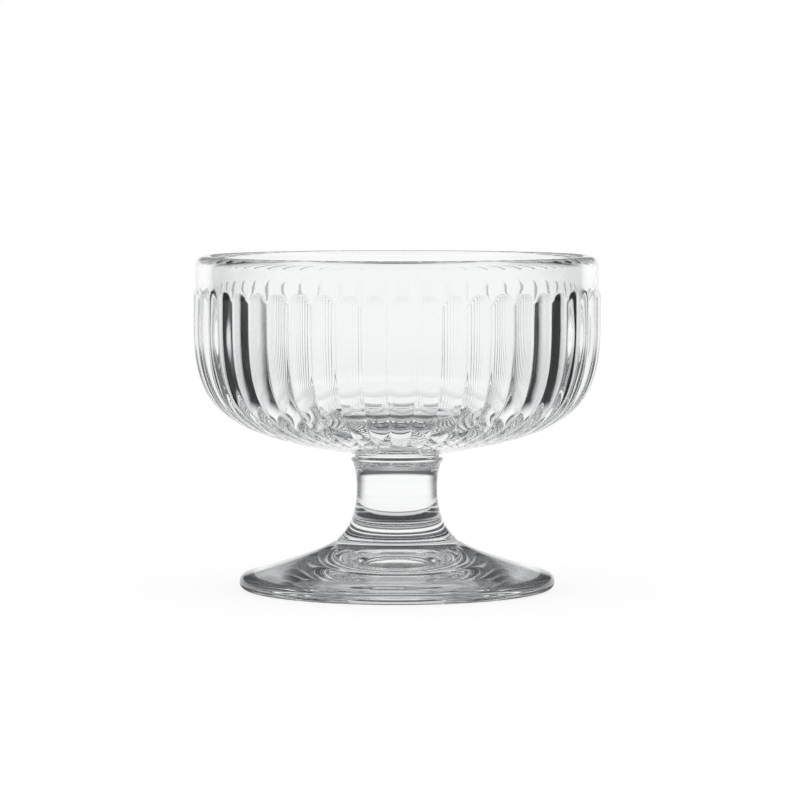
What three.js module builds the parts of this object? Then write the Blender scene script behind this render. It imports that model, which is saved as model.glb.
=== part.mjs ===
// Dessert coupe of clear pressed glass: a fluted bowl, a collar, a waisted stem and a round foot, fused in a stack.
// Millimetres and degrees. +Z is up, the front is towards -Y, and the origin is on the axis at table level.
import * as THREE from "three";

// Foot
const FOOT_DIAMETER = 80.7;
const FOOT_HEIGHT = 13; // from the table to the seam with the stem
const FOOT_EDGE_RADIUS = 1.85; // half-round outer edge
const STANDING_RING_WIDTH = 2; // flat ring that rests on the table
const RECESS_RISE = 6; // hollow of the underside, at the axis
const RECESS_CROWN = 0.3; // share of the hollow's radius over which its roof stays level
const RECESS_EDGE_SLOPE = 15;
const RECESS_EDGE_PULL = 15; // how far the slope at the hollow's edge carries
const TOE_SLOPE = 17.5; // fall of the foot's top where it meets the edge
const TOE_PULL = 0.22; // how far the toe's slope carries, as a share of the run to the ankle
const ANKLE_PULL = 0.173; // the same for the ankle's slope

// Seam between foot and stem
const ANKLE_DIAMETER = 29.78;
const ANKLE_SLOPE = 54.35;

// Stem, with pulls as shares of the lengths below and above the waist
const STEM_LENGTH = 18.8;
const WAIST_DIAMETER = 20.62;
const WAIST_HEIGHT = 12.6; // above the seam with the foot
const STEM_HEAD_DIAMETER = 22.24; // seam with the collar
const STEM_HEAD_SLOPE = 78;
const STEM_ANKLE_PULL = 0.08;
const LOWER_WAIST_PULL = 0.75;
const UPPER_WAIST_PULL = 0.686;
const STEM_HEAD_PULL = 0.158;

// Collar
const COLLAR_THICKNESS = 1.84;
const COLLAR_DIAMETER = 23.94;
const COLLAR_EDGE_DROP = 0.34; // from the seam with the bowl to the widest part
const COLLAR_EDGE_RADIUS = 0.43;

// Bowl, outside
const NECK_DIAMETER = 21.66; // seam with the collar
const NECK_HEIGHT = 0.8;
const BOWL_HEIGHT = 51.36; // from the seam with the collar to the rim
const BAND_DIAMETER = 102.8; // plain band under the rim
const SHOULDER_DROP = 16.5; // from the rim to where the side begins to curve in
const UNDERSIDE_SLOPE = 9;
const UNDERSIDE_PULL = 0.815; // how far the underside's slope carries, as a share of the run to the side
const SIDE_PULL = 0.69; // how far the upright side carries, as a share of the drop to the neck

// Flutes: convex ribs side by side, with grooves between them and domed upper ends that make arches on the band
const RIB_COUNT = 50;
const RIB_PROUD = 0.62; // crest of a rib outside the band
const RIB_DEPTH = 1.05; // crest to groove, at the widest part
const RIB_TOP_DROP = 8.3; // from the rim to the top of a rib
const DOME_LENGTH = 2.6; // of the rounded upper end of a rib
const GROOVE_RUN = 1.7; // length over which a groove runs out to the band
const GROOVE_TOP_DROP = 1.5; // from the top of a rib to where the groove has run out
const GROOVE_ANGLE = -2.3; // one groove, seen from the front

// Bowl, inside
const WALL = 4.7; // wall at the rim band
const FLOOR_THICKNESS = 9.6; // from the seam with the collar to the inside floor, at the axis
const WALL_DRAFT = 2; // taper of the inside wall
const BEND_HEIGHT = 20; // above the inside floor, where the wall begins to bend inwards
const BEND_PULL = 0.8; // how far the wall carries into the bend, as a share of the bend's height
const FLOOR_PULL = 0.89; // how far the level floor carries into the bend, as a share of its radius

// Fineness of the facets
const RIB_STEPS = 4;
const SIDE_STEPS = 9;
const PLAIN_STEPS = 100;
const TURNED_STEPS = 60;
const CURVE_STEPS = 6;
const RIB_END_STEPS = 4;
const INSIDE_STEPS = 9;
const ROUND_STEPS = 4; // even, so that the lip has a highest point

const GLASS = { color: 0xe4eaec, roughness: 0.04, metalness: 0, transparent: true, opacity: 0.45 };

const radians = THREE.MathUtils.degToRad;
const point = (radius, height) => new THREE.Vector2(radius, height);
const direction = (degrees) => point(Math.cos(radians(degrees)), Math.sin(radians(degrees)));
const along = (start, heading, length) => start.clone().addScaledVector(heading, length);

// Points of the arc that rounds a corner with the given radius.
function roundedCorner(before, corner, after, radius) {
  const back = before.clone().sub(corner).normalize();
  const on = after.clone().sub(corner).normalize();
  const halfAngle = Math.acos(back.dot(on)) / 2;
  const centre = along(corner, back.clone().add(on).normalize(), radius / Math.sin(halfAngle));
  const start = along(corner, back, radius / Math.tan(halfAngle)).sub(centre);
  const turn = Math.sign(back.cross(on)) * -(Math.PI - 2 * halfAngle);
  const arc = [];
  for (let step = 0; step <= ROUND_STEPS; step++) {
    const angle = (turn * step) / ROUND_STEPS;
    arc.push(start.clone().rotateAround(point(0, 0), angle).add(centre));
  }
  return arc;
}

// Points of a cubic curve that leaves one end and reaches the other along the pulled points.
function curved(start, startPull, endPull, end, steps = CURVE_STEPS) {
  return new THREE.CubicBezierCurve(start, startPull, endPull, end).getPoints(steps);
}

// A solid turned about +Z from an outline that runs from the axis below, round the outside, to the axis above.
function turned(outline) {
  const distinct = outline.filter((p, i) => i === 0 || p.distanceTo(outline[i - 1]) > 1e-6);
  return new THREE.LatheGeometry(distinct, TURNED_STEPS).rotateX(Math.PI / 2);
}

// A ring of points about the axis. The angle runs from the front towards +X.
function ring(count, pointAt) {
  const points = [];
  for (let step = 0; step < count; step++) {
    const angle = radians(GROOVE_ANGLE + (360 * step) / count);
    const { x: radius, y: height } = pointAt(step);
    points.push([radius * Math.sin(angle), -radius * Math.cos(angle), height]);
  }
  return points;
}

const plainRing = (at) => ring(PLAIN_STEPS, () => at);
const axisPoint = (height) => [[0, 0, height]];

// How far a convex rib has fallen from its crest to its grooves, from 0 to 1, at a step across it.
function ribFall(step, radius, depth) {
  const across = (2 * (step % RIB_STEPS)) / RIB_STEPS - 1;
  const halfWidth = (Math.PI * radius) / RIB_COUNT;
  const ribRadius = (halfWidth ** 2 + depth ** 2) / (2 * depth);
  return (ribRadius - Math.sqrt(ribRadius ** 2 - (across * halfWidth) ** 2)) / depth;
}

// A ring across all ribs, whose grooves grow shallower towards the neck as the ribs grow narrower.
function ribbedRing(crest) {
  const depth = (RIB_DEPTH * crest.x) / CREST_RADIUS;
  return ring(RIB_COUNT * RIB_STEPS, (step) => point(crest.x - depth * ribFall(step, crest.x, depth), crest.y));
}

// A ring through the upper ends of the ribs, where the domes sink into the band and the grooves run out.
function ribEndRing(belowTop) {
  const bandRadius = BAND_DIAMETER / 2;
  const domeShare = 1 - Math.min(belowTop / DOME_LENGTH, 1);
  const dome = RIB_PROUD * (1 - domeShare ** 2);
  const grooveShare = THREE.MathUtils.smoothstep(belowTop, GROOVE_TOP_DROP, GROOVE_TOP_DROP + GROOVE_RUN);
  const groove = (RIB_PROUD - RIB_DEPTH) * grooveShare;
  return ring(RIB_COUNT * RIB_STEPS, (step) => {
    const rib = dome - RIB_DEPTH * ribFall(step, CREST_RADIUS, RIB_DEPTH);
    return point(bandRadius + Math.max(rib, groove), BOWL_HEIGHT - RIB_TOP_DROP - belowTop);
  });
}

// A closed skin over rings of points, in order. Rings may differ in count, and one point closes an end.
function skin(rings) {
  const positions = [];
  const triangles = [];
  const numbered = rings.map((points) =>
    points.map((p) => {
      positions.push(...p);
      return positions.length / 3 - 1;
    }),
  );
  for (let level = 1; level < numbered.length; level++) {
    const below = numbered[level - 1];
    const above = numbered[level];
    const belowSteps = below.length > 1 ? below.length : 0;
    const aboveSteps = above.length > 1 ? above.length : 0;
    let b = 0;
    let a = 0;
    while (b < belowSteps || a < aboveSteps) {
      const from = below[b % below.length];
      const to = above[a % above.length];
      if (a >= aboveSteps || (b + 1) * aboveSteps <= (a + 1) * belowSteps) {
        b += 1;
        triangles.push(from, below[b % below.length], to);
      } else {
        a += 1;
        triangles.push(from, above[a % above.length], to);
      }
    }
  }
  const geometry = new THREE.BufferGeometry();
  geometry.setAttribute("position", new THREE.Float32BufferAttribute(positions, 3));
  geometry.setIndex(triangles);
  geometry.computeVertexNormals();
  return geometry;
}

// The foot: flat standing ring, half-round edge, and a top that sweeps up to the ankle.
function footGeometry() {
  const edgeCentre = point(FOOT_DIAMETER / 2 - FOOT_EDGE_RADIUS, FOOT_EDGE_RADIUS);
  const ankle = point(ANKLE_DIAMETER / 2, FOOT_HEIGHT);
  const toe = along(edgeCentre, direction(90 - TOE_SLOPE), FOOT_EDGE_RADIUS);
  const run = toe.x - ankle.x;
  const recessTop = point(0, RECESS_RISE);
  const recessEdge = point(edgeCentre.x - STANDING_RING_WIDTH, 0);
  const crownPull = point(RECESS_CROWN * recessEdge.x, RECESS_RISE);
  const edgePull = along(recessEdge, direction(180 - RECESS_EDGE_SLOPE), RECESS_EDGE_PULL);
  const recess = curved(recessTop, crownPull, edgePull, recessEdge);
  const edge = [];
  for (let step = 0; step <= 2 * ROUND_STEPS; step++) {
    const angle = -90 + ((180 - TOE_SLOPE) * step) / (2 * ROUND_STEPS);
    edge.push(along(edgeCentre, direction(angle), FOOT_EDGE_RADIUS));
  }
  const toePull = along(toe, direction(180 - TOE_SLOPE), TOE_PULL * run);
  const anklePull = along(ankle, direction(-ANKLE_SLOPE), ANKLE_PULL * run);
  const top = curved(toe, toePull, anklePull, ankle);
  return turned([...recess, ...edge, ...top, point(0, FOOT_HEIGHT)]);
}

// The stem: flared at the foot, narrowest at the waist and flared again under the collar.
function stemGeometry() {
  const ankle = point(ANKLE_DIAMETER / 2, 0);
  const waist = point(WAIST_DIAMETER / 2, WAIST_HEIGHT);
  const head = point(STEM_HEAD_DIAMETER / 2, STEM_LENGTH);
  const headHeight = STEM_LENGTH - WAIST_HEIGHT;
  const anklePull = along(ankle, direction(180 - ANKLE_SLOPE), STEM_ANKLE_PULL * WAIST_HEIGHT);
  const belowWaist = along(waist, direction(-90), LOWER_WAIST_PULL * WAIST_HEIGHT);
  const aboveWaist = along(waist, direction(90), UPPER_WAIST_PULL * headHeight);
  const headPull = along(head, direction(180 + STEM_HEAD_SLOPE), STEM_HEAD_PULL * headHeight);
  const lower = curved(ankle, anklePull, belowWaist, waist);
  const upper = curved(waist, aboveWaist, headPull, head);
  return turned([point(0, 0), ...lower, ...upper, point(0, STEM_LENGTH)]);
}

// The collar: a wafer with a rounded edge, wide below and as narrow as the bowl's neck on top.
function collarGeometry() {
  const seat = point(STEM_HEAD_DIAMETER / 2, 0);
  const edge = point(COLLAR_DIAMETER / 2, COLLAR_THICKNESS - COLLAR_EDGE_DROP);
  const neck = point(NECK_DIAMETER / 2, COLLAR_THICKNESS);
  const rounded = roundedCorner(seat, edge, neck, COLLAR_EDGE_RADIUS);
  return turned([point(0, 0), seat, ...rounded, neck, point(0, COLLAR_THICKNESS)]);
}

const CREST_RADIUS = BAND_DIAMETER / 2 + RIB_PROUD;

// The crests of the ribs from the neck, along the underside and up the side to the shoulder.
function crestCurve() {
  const neck = point(NECK_DIAMETER / 2, NECK_HEIGHT);
  const shoulder = point(CREST_RADIUS, BOWL_HEIGHT - SHOULDER_DROP);
  const undersideRun = UNDERSIDE_PULL * (shoulder.x - neck.x);
  const underside = point(neck.x + undersideRun, neck.y + undersideRun * Math.tan(radians(UNDERSIDE_SLOPE)));
  const side = point(shoulder.x, shoulder.y - SIDE_PULL * (shoulder.y - neck.y));
  return curved(neck, underside, side, shoulder, SIDE_STEPS);
}

// The bowl's inside, from the lip down the wall and round the bend to the middle of the floor.
function insideCurve() {
  const top = point(BAND_DIAMETER / 2 - WALL, BOWL_HEIGHT - WALL / 2);
  const floor = point(0, FLOOR_THICKNESS);
  const downWall = direction(270 - WALL_DRAFT);
  const wallLength = (top.y - floor.y - BEND_HEIGHT) / Math.cos(radians(WALL_DRAFT));
  const bend = along(top, downWall, wallLength);
  const bendPull = along(bend, downWall, BEND_PULL * BEND_HEIGHT);
  const floorPull = point(FLOOR_PULL * bend.x, floor.y);
  return curved(bend, bendPull, floorPull, floor, INSIDE_STEPS);
}

// The bowl: neck, ribbed outside, plain band, half-round lip, smooth inside.
function bowlGeometry() {
  const bandRadius = BAND_DIAMETER / 2;
  const rings = [axisPoint(0), plainRing(point(NECK_DIAMETER / 2, 0))];
  const [neck, ...crests] = crestCurve();
  rings.push(plainRing(neck));
  for (const crest of crests) {
    rings.push(ribbedRing(crest));
  }
  const ribEnd = Math.max(GROOVE_TOP_DROP + GROOVE_RUN, DOME_LENGTH);
  for (let step = 0; step <= RIB_END_STEPS; step++) {
    rings.push(ribEndRing(ribEnd * (1 - step / RIB_END_STEPS)));
  }
  const lipRadius = WALL / 2;
  const lipCentre = point(bandRadius - lipRadius, BOWL_HEIGHT - lipRadius);
  for (let step = 0; step <= ROUND_STEPS; step++) {
    rings.push(plainRing(along(lipCentre, direction((180 * step) / ROUND_STEPS), lipRadius)));
  }
  const inside = insideCurve();
  const floor = inside.pop();
  for (const bend of inside) {
    rings.push(plainRing(bend));
  }
  rings.push(axisPoint(floor.y));
  return skin(rings);
}

// Each piece stands on the one before it.
const coupe = new THREE.Group();
let level = 0;
function stack(name, geometry, height) {
  const piece = new THREE.Mesh(geometry, new THREE.MeshStandardMaterial(GLASS));
  piece.name = name;
  piece.position.z = level;
  level += height;
  coupe.add(piece);
}

stack("foot", footGeometry(), FOOT_HEIGHT);
stack("stem", stemGeometry(), STEM_LENGTH);
stack("collar", collarGeometry(), COLLAR_THICKNESS);
stack("bowl", bowlGeometry(), BOWL_HEIGHT);

export default coupe;
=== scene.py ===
import math

import bpy
import numpy as np
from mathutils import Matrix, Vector


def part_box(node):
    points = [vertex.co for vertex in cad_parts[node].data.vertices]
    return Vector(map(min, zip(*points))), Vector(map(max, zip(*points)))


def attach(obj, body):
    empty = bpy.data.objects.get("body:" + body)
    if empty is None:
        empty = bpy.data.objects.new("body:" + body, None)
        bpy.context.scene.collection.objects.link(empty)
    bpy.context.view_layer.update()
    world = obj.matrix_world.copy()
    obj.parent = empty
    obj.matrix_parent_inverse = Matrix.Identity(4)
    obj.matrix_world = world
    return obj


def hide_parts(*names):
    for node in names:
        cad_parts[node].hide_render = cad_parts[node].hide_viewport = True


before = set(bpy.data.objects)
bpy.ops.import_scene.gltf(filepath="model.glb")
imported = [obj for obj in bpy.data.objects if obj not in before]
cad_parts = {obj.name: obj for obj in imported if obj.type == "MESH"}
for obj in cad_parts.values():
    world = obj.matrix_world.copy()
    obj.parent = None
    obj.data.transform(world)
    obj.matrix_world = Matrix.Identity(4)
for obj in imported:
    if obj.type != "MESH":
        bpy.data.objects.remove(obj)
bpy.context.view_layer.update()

MM = 0.001  # lengths of the glass are in millimetres and become metres when a mesh is made

# Slopes and angles are in degrees. A pull says how far a curve holds the direction of its end,
# as a share of its run or height.

# Levels of the seams and the rim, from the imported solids
ANKLE_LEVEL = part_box("stem")[0].z / MM
HEAD_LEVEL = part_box("collar")[0].z / MM
NECK_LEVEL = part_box("bowl")[0].z / MM
RIM_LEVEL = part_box("bowl")[1].z / MM

# Foot
FOOT_RADIUS = 40.35
FOOT_EDGE_RADIUS = 1.85
STANDING_RING_WIDTH = 2.0
RECESS_RISE = 6.0
RECESS_CROWN = 0.3  # pull of the recess at the axis
RECESS_EDGE_SLOPE = 15.0
RECESS_EDGE_PULL = 15.0  # in millimetres
TOE_SLOPE = 17.5
TOE_PULL = 0.22
ANKLE_PULL = 0.173
ANKLE_RADIUS = 14.89
ANKLE_SLOPE = 54.35

# Stem
WAIST_RADIUS = 10.31
WAIST_HEIGHT = 12.6
HEAD_RADIUS = 11.12
HEAD_SLOPE = 78.0
STEM_ANKLE_PULL = 0.08
LOWER_WAIST_PULL = 0.75
UPPER_WAIST_PULL = 0.686
STEM_HEAD_PULL = 0.158

# Collar
COLLAR_RADIUS = 11.97
COLLAR_EDGE_DROP = 0.34  # from the seam with the bowl to the widest part
COLLAR_EDGE_RADIUS = 0.43

# Bowl, outside
NECK_RADIUS = 10.83
NECK_HEIGHT = 0.8
BAND_RADIUS = 51.4
SHOULDER_DROP = 16.5
UNDERSIDE_SLOPE = 9.0
UNDERSIDE_PULL = 0.815
SIDE_PULL = 0.69

# Flutes
RIB_COUNT = 50
RIB_PROUD = 0.62
RIB_DEPTH = 1.05
RIB_RISE = 4.0  # beyond the neck's radius, over which the ribs rise to their full depth
RIB_TOP_DROP = 8.3
RIB_OVERRUN = 0.15  # above the ribs' tops, where the last ring through their ends lies
DOME_LENGTH = 2.6  # of the rounded upper end of a rib
GROOVE_END = (3.2, 1.5)  # below the ribs' tops, where a groove begins to run out and meets the band
GROOVE_ANGLE = -2.3  # of the first groove, from the front
GROOVE_SOFTNESS = 0.25  # rounding of the groove's bottom, as a share of the rib's depth
EDGE_SOFTNESS = 0.05  # rounding of the edge between a rib and the band
CREST_RADIUS = BAND_RADIUS + RIB_PROUD
BAND_START = 0.5  # above the ribs' tops, where the plain band begins

# Bowl, inside
WALL = 4.7
WALL_DRAFT = 2.0
BEND_HEIGHT = 20.0  # above the floor, where the wall begins to bend inwards
BEND_PULL = 0.8
FLOOR_PULL = 0.89  # how far the level floor carries into the bend, as a share of its radius
FLOOR_THICKNESS = 9.6

# Glass, with heights in metres. A noise has a scale and a detail, and is cut to the limits of its spots.
GLASS_COLOUR = (0.985, 0.992, 0.99, 1)
REFRACTIVE_INDEX = 1.52
RIPPLE_NOISE = (110.0, 1.0)
RIPPLE_HEIGHT = 0.00001
SCUFF_NOISE = (900.0, 4.0)
SCUFF_SPOTS = (0.35, 0.65)
STANDING_ROUGHNESS = (0.2, 0.5)
STANDING_LEVEL = (0.0001, 0.0003)  # height over which the scuffs of the standing ring end
POLISH_NOISE = (60.0, 2.0)
POLISH_SPOTS = (0.3, 0.7)
POLISH_ROUGHNESS = (0.0, 0.03)

# Fineness of the meshes: points round the axis, and rows along the outlines
RIB_STEPS = 16  # across one rib
PLAIN_STEPS = 256
SEAM_STEP = 0.002  # share of a curve that its first and last rows take, so that seams stay smooth
SMOOTH_ANGLE = 45.0  # between faces, above which an edge stays sharp
RECESS_ROWS = 80
STANDING_RING_ROWS = 4
FOOT_EDGE_ROWS = 24
FOOT_TOP_ROWS = 100
LOWER_STEM_ROWS = 70
UPPER_STEM_ROWS = 50
COLLAR_SEAT_ROWS = 3
COLLAR_EDGE_ROWS = 10
COLLAR_TOP_ROWS = 4
NECK_ROWS = 4
SIDE_ROWS = 52
SHOULDER_ROWS = 3
RIB_END_ROWS = 24
BAND_ROWS = 6
LIP_ROWS = 24
WALL_ROWS = 8
BEND_ROWS = 60


def point(radius, height):
    return np.array([radius, height], float)


def direction(degrees):
    return point(math.cos(math.radians(degrees)), math.sin(math.radians(degrees)))


def line(start, end, steps):
    """Points from start to end, without start."""
    shares = np.linspace(0, 1, steps + 1)[1:, None]
    return start + (end - start) * shares


def arc(centre, radius, start, end, steps):
    """Points of a circle's arc between two angles in degrees."""
    angles = np.radians(np.linspace(start, end, steps + 1))
    return centre + radius * np.column_stack([np.cos(angles), np.sin(angles)])


def curve(start, start_pull, end_pull, end, steps):
    """Points of a cubic curve, with a very short first and last row."""
    t = np.concatenate([[0, SEAM_STEP], np.linspace(0, 1, steps + 1)[1:-1], [1 - SEAM_STEP, 1]])[:, None]
    return (
        (1 - t) ** 3 * start
        + 3 * (1 - t) ** 2 * t * start_pull
        + 3 * (1 - t) * t**2 * end_pull
        + t**3 * end
    )


def rounded(before, corner, after, radius, steps):
    """Points of the arc that rounds a corner."""
    back = (before - corner) / np.linalg.norm(before - corner)
    on = (after - corner) / np.linalg.norm(after - corner)
    half = math.acos(float(np.clip(back @ on, -1, 1))) / 2
    middle = back + on
    centre = corner + middle / np.linalg.norm(middle) * radius / math.sin(half)
    first = corner + back * radius / math.tan(half) - centre
    last = corner + on * radius / math.tan(half) - centre
    start = math.degrees(math.atan2(first[1], first[0]))
    turn = (math.degrees(math.atan2(last[1], last[0])) - start + 180) % 360 - 180
    return arc(centre, radius, start, start + turn, steps)


def around(radius, height, angles):
    """A ring of points about the axis. Angles run from the front, -Y, towards +X."""
    turn = np.radians(angles)
    radius = np.broadcast_to(radius, turn.shape)
    height = np.broadcast_to(height, turn.shape)
    return np.column_stack([radius * np.sin(turn), -radius * np.cos(turn), height])


PLAIN_ANGLES = GROOVE_ANGLE + np.arange(PLAIN_STEPS) * 360 / PLAIN_STEPS
RIB_STEP = np.arange(RIB_COUNT * RIB_STEPS)
RIB_ACROSS = np.sin(np.pi / 2 * (2 * (RIB_STEP % RIB_STEPS) / RIB_STEPS - 1))
RIB_ANGLES = GROOVE_ANGLE + (RIB_STEP // RIB_STEPS + (RIB_ACROSS + 1) / 2) * 360 / RIB_COUNT


def plain_rings(outline):
    return [around(radius, height, PLAIN_ANGLES) for radius, height in outline]


def smooth_step(share):
    share = np.clip(share, 0, 1)
    return share * share * (3 - 2 * share)


def soft_max(first, second, softness):
    """The larger of two heights, with the corner between them rounded."""
    return (first + second + np.sqrt((first - second) ** 2 + softness**2)) / 2


def rib_fall(crest_radius):
    """Fall from crest to groove across the ribs, from 0 to 1, with the groove's bottom a little rounded."""
    half_width = math.pi * crest_radius / RIB_COUNT
    depth = RIB_DEPTH * crest_radius / CREST_RADIUS
    rib_radius = (half_width**2 + depth**2) / (2 * depth)

    def height(across):
        left = np.maximum(rib_radius**2 - (across * half_width) ** 2, 0)
        return 1 - (rib_radius - np.sqrt(left)) / depth

    own = height(np.abs(RIB_ACROSS))
    next_rib = height(2 - np.abs(RIB_ACROSS))
    return 1 - soft_max(own, next_rib, GROOVE_SOFTNESS)


def ribbed_ring(crest, depth):
    return around(crest[0] - depth * rib_fall(crest[0]), crest[1], RIB_ANGLES)


def rib_end_ring(below_top):
    """A ring through the upper ends of the ribs, at a distance below their tops."""
    share = below_top / DOME_LENGTH
    dome = RIB_PROUD * (np.where(share > 0, 1 - (1 - min(share, 1)) ** 2, 2 * share))
    rib = dome - RIB_DEPTH * rib_fall(CREST_RADIUS)
    run_out = smooth_step((GROOVE_END[0] - below_top) / (GROOVE_END[0] - GROOVE_END[1]))
    ground = (RIB_PROUD - RIB_DEPTH) * (1 - run_out) - EDGE_SOFTNESS / 4
    height = RIM_LEVEL - RIB_TOP_DROP - below_top
    return around(BAND_RADIUS + soft_max(rib, ground, EDGE_SOFTNESS), height, RIB_ANGLES)


def stitch(faces, below, above):
    """Joins two rings of vertex numbers with faces. Their counts may differ, and a point closes an end."""
    if len(below) == len(above):
        for i in range(len(below)):
            j = (i + 1) % len(below)
            faces.append((below[i], below[j], above[j], above[i]))
        return
    below_steps = len(below) if len(below) > 1 else 0
    above_steps = len(above) if len(above) > 1 else 0
    b = a = 0
    while b < below_steps or a < above_steps:
        start, end = below[b % len(below)], above[a % len(above)]
        if a >= above_steps or (b + 1) * above_steps <= (a + 1) * below_steps:
            b += 1
            faces.append((start, below[b % len(below)], end))
        else:
            a += 1
            faces.append((start, above[a % len(above)], end))


def glass_piece(name, node, rings, seams, materials):
    """A closed skin over the rings, as a piece that stands for a node. seams are its fused bands."""
    numbered = []
    count = 0
    for points in rings:
        numbered.append(range(count, count + len(points)))
        count += len(points)
    faces = []
    seam_faces = []
    for band in range(len(rings) - 1):
        before = len(faces)
        stitch(faces, numbered[band], numbered[band + 1])
        if band in seams or band - len(rings) + 1 in seams:
            seam_faces.extend(range(before, len(faces)))
    mesh = bpy.data.meshes.new(name)
    mesh.from_pydata((np.vstack(rings) * MM).tolist(), [], faces)
    slots = np.zeros(len(faces), np.int32)
    slots[seam_faces] = 1
    mesh.polygons.foreach_set("material_index", slots)
    mesh.shade_smooth()
    mesh.set_sharp_from_angle(angle=math.radians(SMOOTH_ANGLE))
    for material in materials:
        mesh.materials.append(material)
    piece = bpy.data.objects.new(name, mesh)
    bpy.context.scene.collection.objects.link(piece)
    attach(piece, "root")
    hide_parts(node)
    return piece


def axis_point(height):
    return np.array([[0.0, 0.0, height]])


def foot_rings():
    edge_centre = point(FOOT_RADIUS - FOOT_EDGE_RADIUS, FOOT_EDGE_RADIUS)
    ankle = point(ANKLE_RADIUS, ANKLE_LEVEL)
    toe = edge_centre + direction(90 - TOE_SLOPE) * FOOT_EDGE_RADIUS
    run = toe[0] - ankle[0]
    recess_top = point(0, RECESS_RISE)
    recess_edge = point(edge_centre[0] - STANDING_RING_WIDTH, 0)
    crown_pull = point(RECESS_CROWN * recess_edge[0], RECESS_RISE)
    edge_pull = recess_edge + direction(180 - RECESS_EDGE_SLOPE) * RECESS_EDGE_PULL
    recess = curve(recess_top, crown_pull, edge_pull, recess_edge, RECESS_ROWS)[2:]
    ring_face = line(recess_edge, point(edge_centre[0], 0), STANDING_RING_ROWS)
    edge = arc(edge_centre, FOOT_EDGE_RADIUS, -90, 90 - TOE_SLOPE, FOOT_EDGE_ROWS)[1:]
    toe_pull = toe + direction(180 - TOE_SLOPE) * TOE_PULL * run
    ankle_pull = ankle + direction(-ANKLE_SLOPE) * ANKLE_PULL * run
    top = curve(toe, toe_pull, ankle_pull, ankle, FOOT_TOP_ROWS)[1:]
    outline = np.vstack([recess, ring_face, edge, top])
    return [axis_point(RECESS_RISE), *plain_rings(outline), axis_point(ANKLE_LEVEL)]


def stem_rings():
    ankle = point(ANKLE_RADIUS, ANKLE_LEVEL)
    waist = point(WAIST_RADIUS, ANKLE_LEVEL + WAIST_HEIGHT)
    head = point(HEAD_RADIUS, HEAD_LEVEL)
    head_height = HEAD_LEVEL - waist[1]
    ankle_pull = ankle + direction(180 - ANKLE_SLOPE) * STEM_ANKLE_PULL * WAIST_HEIGHT
    below_waist = waist - point(0, LOWER_WAIST_PULL * WAIST_HEIGHT)
    above_waist = waist + point(0, UPPER_WAIST_PULL * head_height)
    head_pull = head + direction(180 + HEAD_SLOPE) * STEM_HEAD_PULL * head_height
    lower = curve(ankle, ankle_pull, below_waist, waist, LOWER_STEM_ROWS)
    upper = curve(waist, above_waist, head_pull, head, UPPER_STEM_ROWS)[1:]
    return [axis_point(ANKLE_LEVEL), *plain_rings(np.vstack([lower, upper])), axis_point(HEAD_LEVEL)]


def collar_rings():
    seat = point(HEAD_RADIUS, HEAD_LEVEL)
    edge = point(COLLAR_RADIUS, NECK_LEVEL - COLLAR_EDGE_DROP)
    neck = point(NECK_RADIUS, NECK_LEVEL)
    side = rounded(seat, edge, neck, COLLAR_EDGE_RADIUS, COLLAR_EDGE_ROWS)
    lower = line(seat, side[0], COLLAR_SEAT_ROWS)
    upper = line(side[-1], neck, COLLAR_TOP_ROWS)
    outline = np.vstack([seat, lower, side[1:], upper])
    return [axis_point(HEAD_LEVEL), *plain_rings(outline), axis_point(NECK_LEVEL)]


def crest_curve():
    neck = point(NECK_RADIUS, NECK_LEVEL + NECK_HEIGHT)
    shoulder = point(CREST_RADIUS, RIM_LEVEL - SHOULDER_DROP)
    run = UNDERSIDE_PULL * (shoulder[0] - neck[0])
    underside = neck + point(run, run * math.tan(math.radians(UNDERSIDE_SLOPE)))
    side = shoulder - point(0, SIDE_PULL * (shoulder[1] - neck[1]))
    return curve(neck, underside, side, shoulder, SIDE_ROWS)


def inside_outline():
    """The lip, wall and floor of the bowl's inside, from the top of the band to the middle of the floor."""
    lip = WALL / 2
    lip_centre = point(BAND_RADIUS - lip, RIM_LEVEL - lip)
    band_foot = point(BAND_RADIUS, RIM_LEVEL - RIB_TOP_DROP + BAND_START)
    band = line(band_foot, point(BAND_RADIUS, lip_centre[1]), BAND_ROWS)
    lip_round = arc(lip_centre, lip, 0, 180 + WALL_DRAFT, LIP_ROWS)[1:]
    wall_top = lip_round[-1]
    floor = point(0, NECK_LEVEL + FLOOR_THICKNESS)
    down_wall = direction(270 - WALL_DRAFT)
    bend_top = wall_top + down_wall * (wall_top[1] - floor[1] - BEND_HEIGHT) / -down_wall[1]
    wall = line(wall_top, bend_top, WALL_ROWS)
    bend_pull = bend_top + down_wall * BEND_PULL * BEND_HEIGHT
    floor_pull = point(FLOOR_PULL * bend_top[0], floor[1])
    bend = curve(bend_top, bend_pull, floor_pull, floor, BEND_ROWS)[1:-1]
    return np.vstack([band, lip_round, wall, bend]), floor


def bowl_rings():
    seam = point(NECK_RADIUS, NECK_LEVEL)
    neck, *crests = crest_curve()
    rings = [axis_point(NECK_LEVEL), *plain_rings(np.vstack([seam, line(seam, neck, NECK_ROWS)]))]
    for crest in crests:
        depth = RIB_DEPTH * crest[0] / CREST_RADIUS * smooth_step((crest[0] - NECK_RADIUS) / RIB_RISE)
        rings.append(ribbed_ring(crest, depth))
    ends_foot = RIM_LEVEL - RIB_TOP_DROP - GROOVE_END[0]
    for height in np.linspace(crests[-1][1], ends_foot, SHOULDER_ROWS + 1)[1:]:
        rings.append(ribbed_ring(point(CREST_RADIUS, height), RIB_DEPTH))
    for below_top in np.linspace(GROOVE_END[0], -RIB_OVERRUN, RIB_END_ROWS + 1)[1:]:
        rings.append(rib_end_ring(below_top))
    outline, floor = inside_outline()
    rings.extend(plain_rings(outline))
    rings.append(axis_point(floor[1]))
    return rings


def link(tree, socket, value):
    if isinstance(value, (int, float)):
        socket.default_value = value
    else:
        tree.links.new(value, socket)


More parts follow.
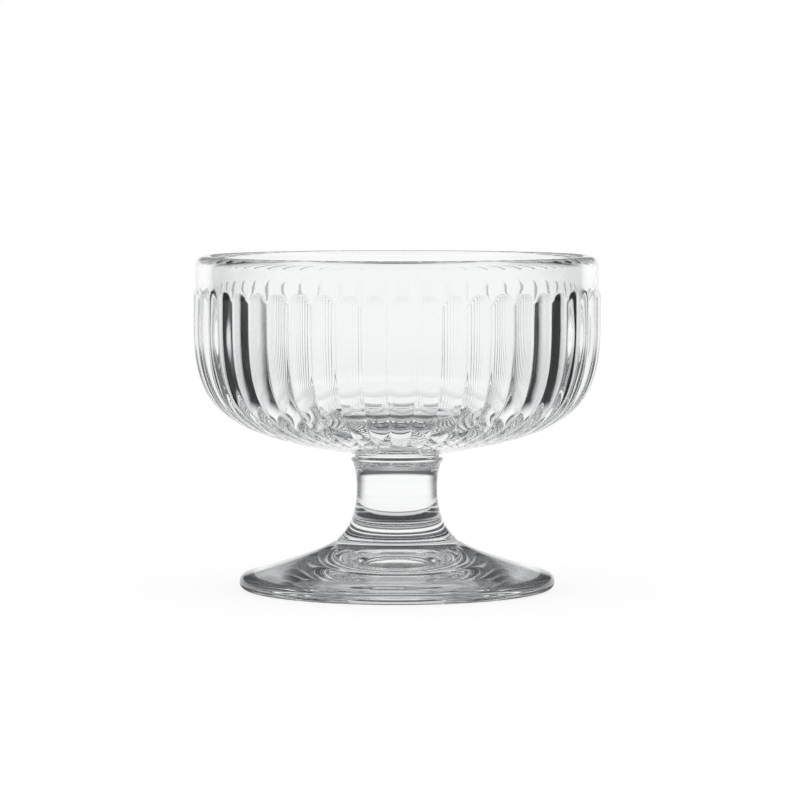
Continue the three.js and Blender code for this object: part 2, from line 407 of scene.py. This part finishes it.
def math_node(tree, operation, first, second=0.0):
    node = tree.nodes.new("ShaderNodeMath")
    node.operation = operation
    link(tree, node.inputs[0], first)
    link(tree, node.inputs[1], second)
    return node.outputs[0]


def fade(tree, value, limits, first, last):
    """Goes softly from the first value to the last as the given value crosses the limits."""
    node = tree.nodes.new("ShaderNodeMapRange")
    node.interpolation_type = "SMOOTHSTEP"
    sockets = ("Value", "From Min", "From Max", "To Min", "To Max")
    for name, entry in zip(sockets, (value, *limits, first, last)):
        link(tree, node.inputs[name], entry)
    return node.outputs["Result"]


def place_parts(tree):
    """The place on the object or in the room, as x, y and z in metres."""
    parts = tree.nodes.new("ShaderNodeSeparateXYZ")
    tree.links.new(tree.nodes.new("ShaderNodeTexCoord").outputs["Object"], parts.inputs[0])
    return parts.outputs


def noise(tree, scale, detail):
    node = tree.nodes.new("ShaderNodeTexNoise")
    node.inputs["Scale"].default_value = scale
    node.inputs["Detail"].default_value = detail
    tree.links.new(tree.nodes.new("ShaderNodeTexCoord").outputs["Object"], node.inputs["Vector"])
    return node.outputs["Fac"]


def clear_glass():
    """Clear pressed glass: a faint ripple, an uneven polish and wear on the standing ring."""
    material = bpy.data.materials.new("clear_glass")
    material.use_nodes = True
    tree = material.node_tree
    shader = tree.nodes["Principled BSDF"]
    shader.inputs["Base Color"].default_value = GLASS_COLOUR
    shader.inputs["Transmission Weight"].default_value = 1.0
    shader.inputs["IOR"].default_value = REFRACTIVE_INDEX
    height = place_parts(tree)[2]
    scuffs = fade(tree, noise(tree, *SCUFF_NOISE), SCUFF_SPOTS, *STANDING_ROUGHNESS)
    polish = fade(tree, noise(tree, *POLISH_NOISE), POLISH_SPOTS, *POLISH_ROUGHNESS)
    tree.links.new(fade(tree, height, STANDING_LEVEL, scuffs, polish), shader.inputs["Roughness"])
    ripple = tree.nodes.new("ShaderNodeBump")
    ripple.inputs["Strength"].default_value = 1.0
    ripple.inputs["Distance"].default_value = RIPPLE_HEIGHT
    tree.links.new(noise(tree, *RIPPLE_NOISE), ripple.inputs["Height"])
    tree.links.new(ripple.outputs["Normal"], shader.inputs["Normal"])
    return material


def fused_seam():
    """The inside of a fused seam, which light crosses unchanged."""
    material = bpy.data.materials.new("fused_seam")
    material.use_nodes = True
    tree = material.node_tree
    tree.nodes.remove(tree.nodes["Principled BSDF"])
    clear = tree.nodes.new("ShaderNodeBsdfTransparent")
    tree.links.new(clear.outputs["BSDF"], tree.nodes["Material Output"].inputs["Surface"])
    return material


glass = [clear_glass(), fused_seam()]
glass_piece("foot_glass", "foot", foot_rings(), {-1}, glass)
glass_piece("stem_glass", "stem", stem_rings(), {0, -1}, glass)
glass_piece("collar_glass", "collar", collar_rings(), {0, -1}, glass)
glass_piece("bowl_glass", "bowl", bowl_rings(), {0}, glass)

# Studio, in metres. Angles of the panels are about the axis, from the line that runs away from the camera.
FLOOR_SIZE = 6.0
FLOOR_COLOUR = (0.9, 0.9, 0.9, 1)
FLOOR_WHITE = 1.06  # light of the floor that makes it white beside its shaded share
BACKDROP_EDGE = (36.0, 66.0)  # where the white backdrop fades into the dark gaps at its sides
GAP_LIGHT = 0.01
FRONT_EDGE = (79.0, 91.0)  # where the gaps end and the paler front of the room begins
FRONT_LIGHT = 0.65
PANEL_TOP = (5.0, 11.0)  # angle above the horizon where the panels fade into the ceiling
CEILING_LIGHT = 0.1
OVERHEAD_EDGE = (38.0, 52.0)  # angle above the horizon where the ceiling brightens to a ring of lamps
OVERHEAD_LIGHT = 0.9
ZENITH_EDGE = (58.0, 68.0)  # angle above the horizon where the ring of lamps ends
ZENITH_LIGHT = 0.2
# The floor's shades and light below are painted by distance from the axis and seen only by the glass; the
# object casts none of them.
FLOOR_GAP_SHADE_START = (0.05, 0.09)  # distance from the axis where the painted shade of the gaps begins on the floor
STEM_SHADE = (0.016, 0.026)  # distance from the axis where the painted shade under the stem ends
STEM_SHADE_TONE = 0.06
PAINTED_HOLLOW_LIGHT = 0.8  # painted light on the floor under the foot's hollow, standing for light that falls through the foot
RING_SHADE_START = (0.03, 0.037)  # distance from the axis where the painted shade under the standing ring begins
RING_SHADE_END = (0.0405, 0.0445)
RING_SHADE_TONE = 0.06
SHADE_TINT = (0.94, 0.985, 1.04, 1)  # colour of the darkest surroundings, and of the painted shade on the floor
WHITE = (1, 1, 1, 1)
FLOOR_SHADE = 0.25  # share of the floor's own shading that the camera sees


def panels(tree, x, y):
    """Light of the room by direction: a white backdrop, dark gaps beside it and a pale front."""
    turn = math_node(tree, "DEGREES", math_node(tree, "ABSOLUTE", math_node(tree, "ARCTAN2", x, y)))
    backdrop = fade(tree, turn, BACKDROP_EDGE, 1.0, GAP_LIGHT)
    return fade(tree, turn, FRONT_EDGE, backdrop, FRONT_LIGHT)


def cool_shade(tree, light):
    """White for full light, and a cool tint for dim light."""
    node = tree.nodes.new("ShaderNodeMix")
    node.data_type = "RGBA"  # its colours are sockets 6 and 7, and its result is socket 2
    tree.links.new(light, node.inputs[0])
    node.inputs[6].default_value = SHADE_TINT
    node.inputs[7].default_value = WHITE
    return node.outputs[2]


def seen_by_glass(tree):
    """One for light that the glass mirrors or passes, and nought for the camera's own view."""
    path = tree.nodes.new("ShaderNodeLightPath")
    return math_node(tree, "MAXIMUM", path.outputs["Is Glossy Ray"], path.outputs["Is Transmission Ray"])


def studio_world():
    """White panels under a dim ceiling with a ring of lamps. The camera itself sees plain white."""
    world = bpy.data.worlds.new("studio")
    bpy.context.scene.world = world
    world.use_nodes = True
    tree = world.node_tree
    parts = tree.nodes.new("ShaderNodeSeparateXYZ")
    tree.links.new(tree.nodes.new("ShaderNodeTexCoord").outputs["Generated"], parts.inputs[0])
    x, y, z = parts.outputs
    height = math_node(tree, "DEGREES", math_node(tree, "ARCSINE", z))
    ceiling = fade(tree, height, OVERHEAD_EDGE, CEILING_LIGHT, OVERHEAD_LIGHT)
    ceiling = fade(tree, height, ZENITH_EDGE, ceiling, ZENITH_LIGHT)
    light = fade(tree, height, PANEL_TOP, panels(tree, x, y), ceiling)
    strength = fade(tree, seen_by_glass(tree), (0.0, 1.0), 1.0, light)
    background = tree.nodes["Background"]
    tree.links.new(strength, background.inputs["Strength"])
    tree.links.new(cool_shade(tree, strength), background.inputs["Color"])


def studio_floor():
    """A pale floor. To the glass it glows with the panels' light and the shade under the foot, both painted
    on it.
    """
    half = FLOOR_SIZE / 2
    corners = [(-half, -half, 0), (half, -half, 0), (half, half, 0), (-half, half, 0)]
    mesh = bpy.data.meshes.new("studio_floor")
    mesh.from_pydata(corners, [], [(0, 1, 2, 3)])
    floor = bpy.data.objects.new("studio_floor", mesh)
    bpy.context.scene.collection.objects.link(floor)
    material = bpy.data.materials.new("pale_floor")
    material.use_nodes = True
    tree = material.node_tree
    tree.nodes.remove(tree.nodes["Principled BSDF"])
    x, y = place_parts(tree)[:2]
    across = math_node(tree, "MULTIPLY", x, x)
    along = math_node(tree, "MULTIPLY", y, y)
    distance = math_node(tree, "SQRT", math_node(tree, "ADD", across, along))
    # Painted light and shade on the floor: darker towards the gaps, painted shade under the stem and round
    # the standing ring, painted light under the hollow.
    lit = fade(tree, distance, FLOOR_GAP_SHADE_START, 1.0, panels(tree, x, y))
    painted_hollow_light = fade(tree, distance, STEM_SHADE, STEM_SHADE_TONE, PAINTED_HOLLOW_LIGHT)
    shaded = fade(tree, distance, RING_SHADE_START, painted_hollow_light, RING_SHADE_TONE)
    painted_light = fade(tree, distance, RING_SHADE_END, shaded, lit)
    matt = tree.nodes.new("ShaderNodeBsdfDiffuse")
    matt.inputs["Color"].default_value = FLOOR_COLOUR
    plain = tree.nodes.new("ShaderNodeEmission")
    plain.inputs["Strength"].default_value = FLOOR_WHITE
    shown = tree.nodes.new("ShaderNodeMixShader")
    shown.inputs["Fac"].default_value = FLOOR_SHADE
    tree.links.new(plain.outputs["Emission"], shown.inputs[1])
    tree.links.new(matt.outputs["BSDF"], shown.inputs[2])
    # For the glass the floor glows with this painted light and shade, though it is no lamp.
    painted_floor_glow = tree.nodes.new("ShaderNodeEmission")
    tree.links.new(painted_light, painted_floor_glow.inputs["Strength"])
    tree.links.new(cool_shade(tree, painted_light), painted_floor_glow.inputs["Color"])
    mix = tree.nodes.new("ShaderNodeMixShader")
    tree.links.new(seen_by_glass(tree), mix.inputs["Fac"])
    tree.links.new(shown.outputs["Shader"], mix.inputs[1])
    tree.links.new(painted_floor_glow.outputs["Emission"], mix.inputs[2])
    tree.links.new(mix.outputs["Shader"], tree.nodes["Material Output"].inputs["Surface"])
    mesh.materials.append(material)


# Camera, in metres, from the photograph's frame of 800 pixels
IMAGE_SIZE = 800
SENSOR = 36.0  # in millimetres
CAMERA_DISTANCE = 1.0
CAMERA_HEIGHT = 0.1136
CAMERA_AIM = Vector((0.00077, 0.0, 0.0481))
FOCAL_PIXELS = 3923.6

# Light paths through the layers of glass
GLASS_BOUNCES = 32
MIRROR_BOUNCES = 16


def add_camera():
    data = bpy.data.cameras.new("camera")
    data.sensor_width = SENSOR
    data.lens = FOCAL_PIXELS / IMAGE_SIZE * SENSOR
    camera = bpy.data.objects.new("camera", data)
    camera.location = (0.0, -CAMERA_DISTANCE, CAMERA_HEIGHT)
    camera.rotation_euler = (CAMERA_AIM - camera.location).to_track_quat("-Z", "Y").to_euler()
    bpy.context.scene.collection.objects.link(camera)
    bpy.context.scene.camera = camera


studio_world()
studio_floor()
add_camera()

scene = bpy.context.scene
scene.view_settings.view_transform = "Standard"
scene.cycles.max_bounces = GLASS_BOUNCES
scene.cycles.transmission_bounces = GLASS_BOUNCES
scene.cycles.glossy_bounces = MIRROR_BOUNCES
scene.cycles.transparent_max_bounces = GLASS_BOUNCES
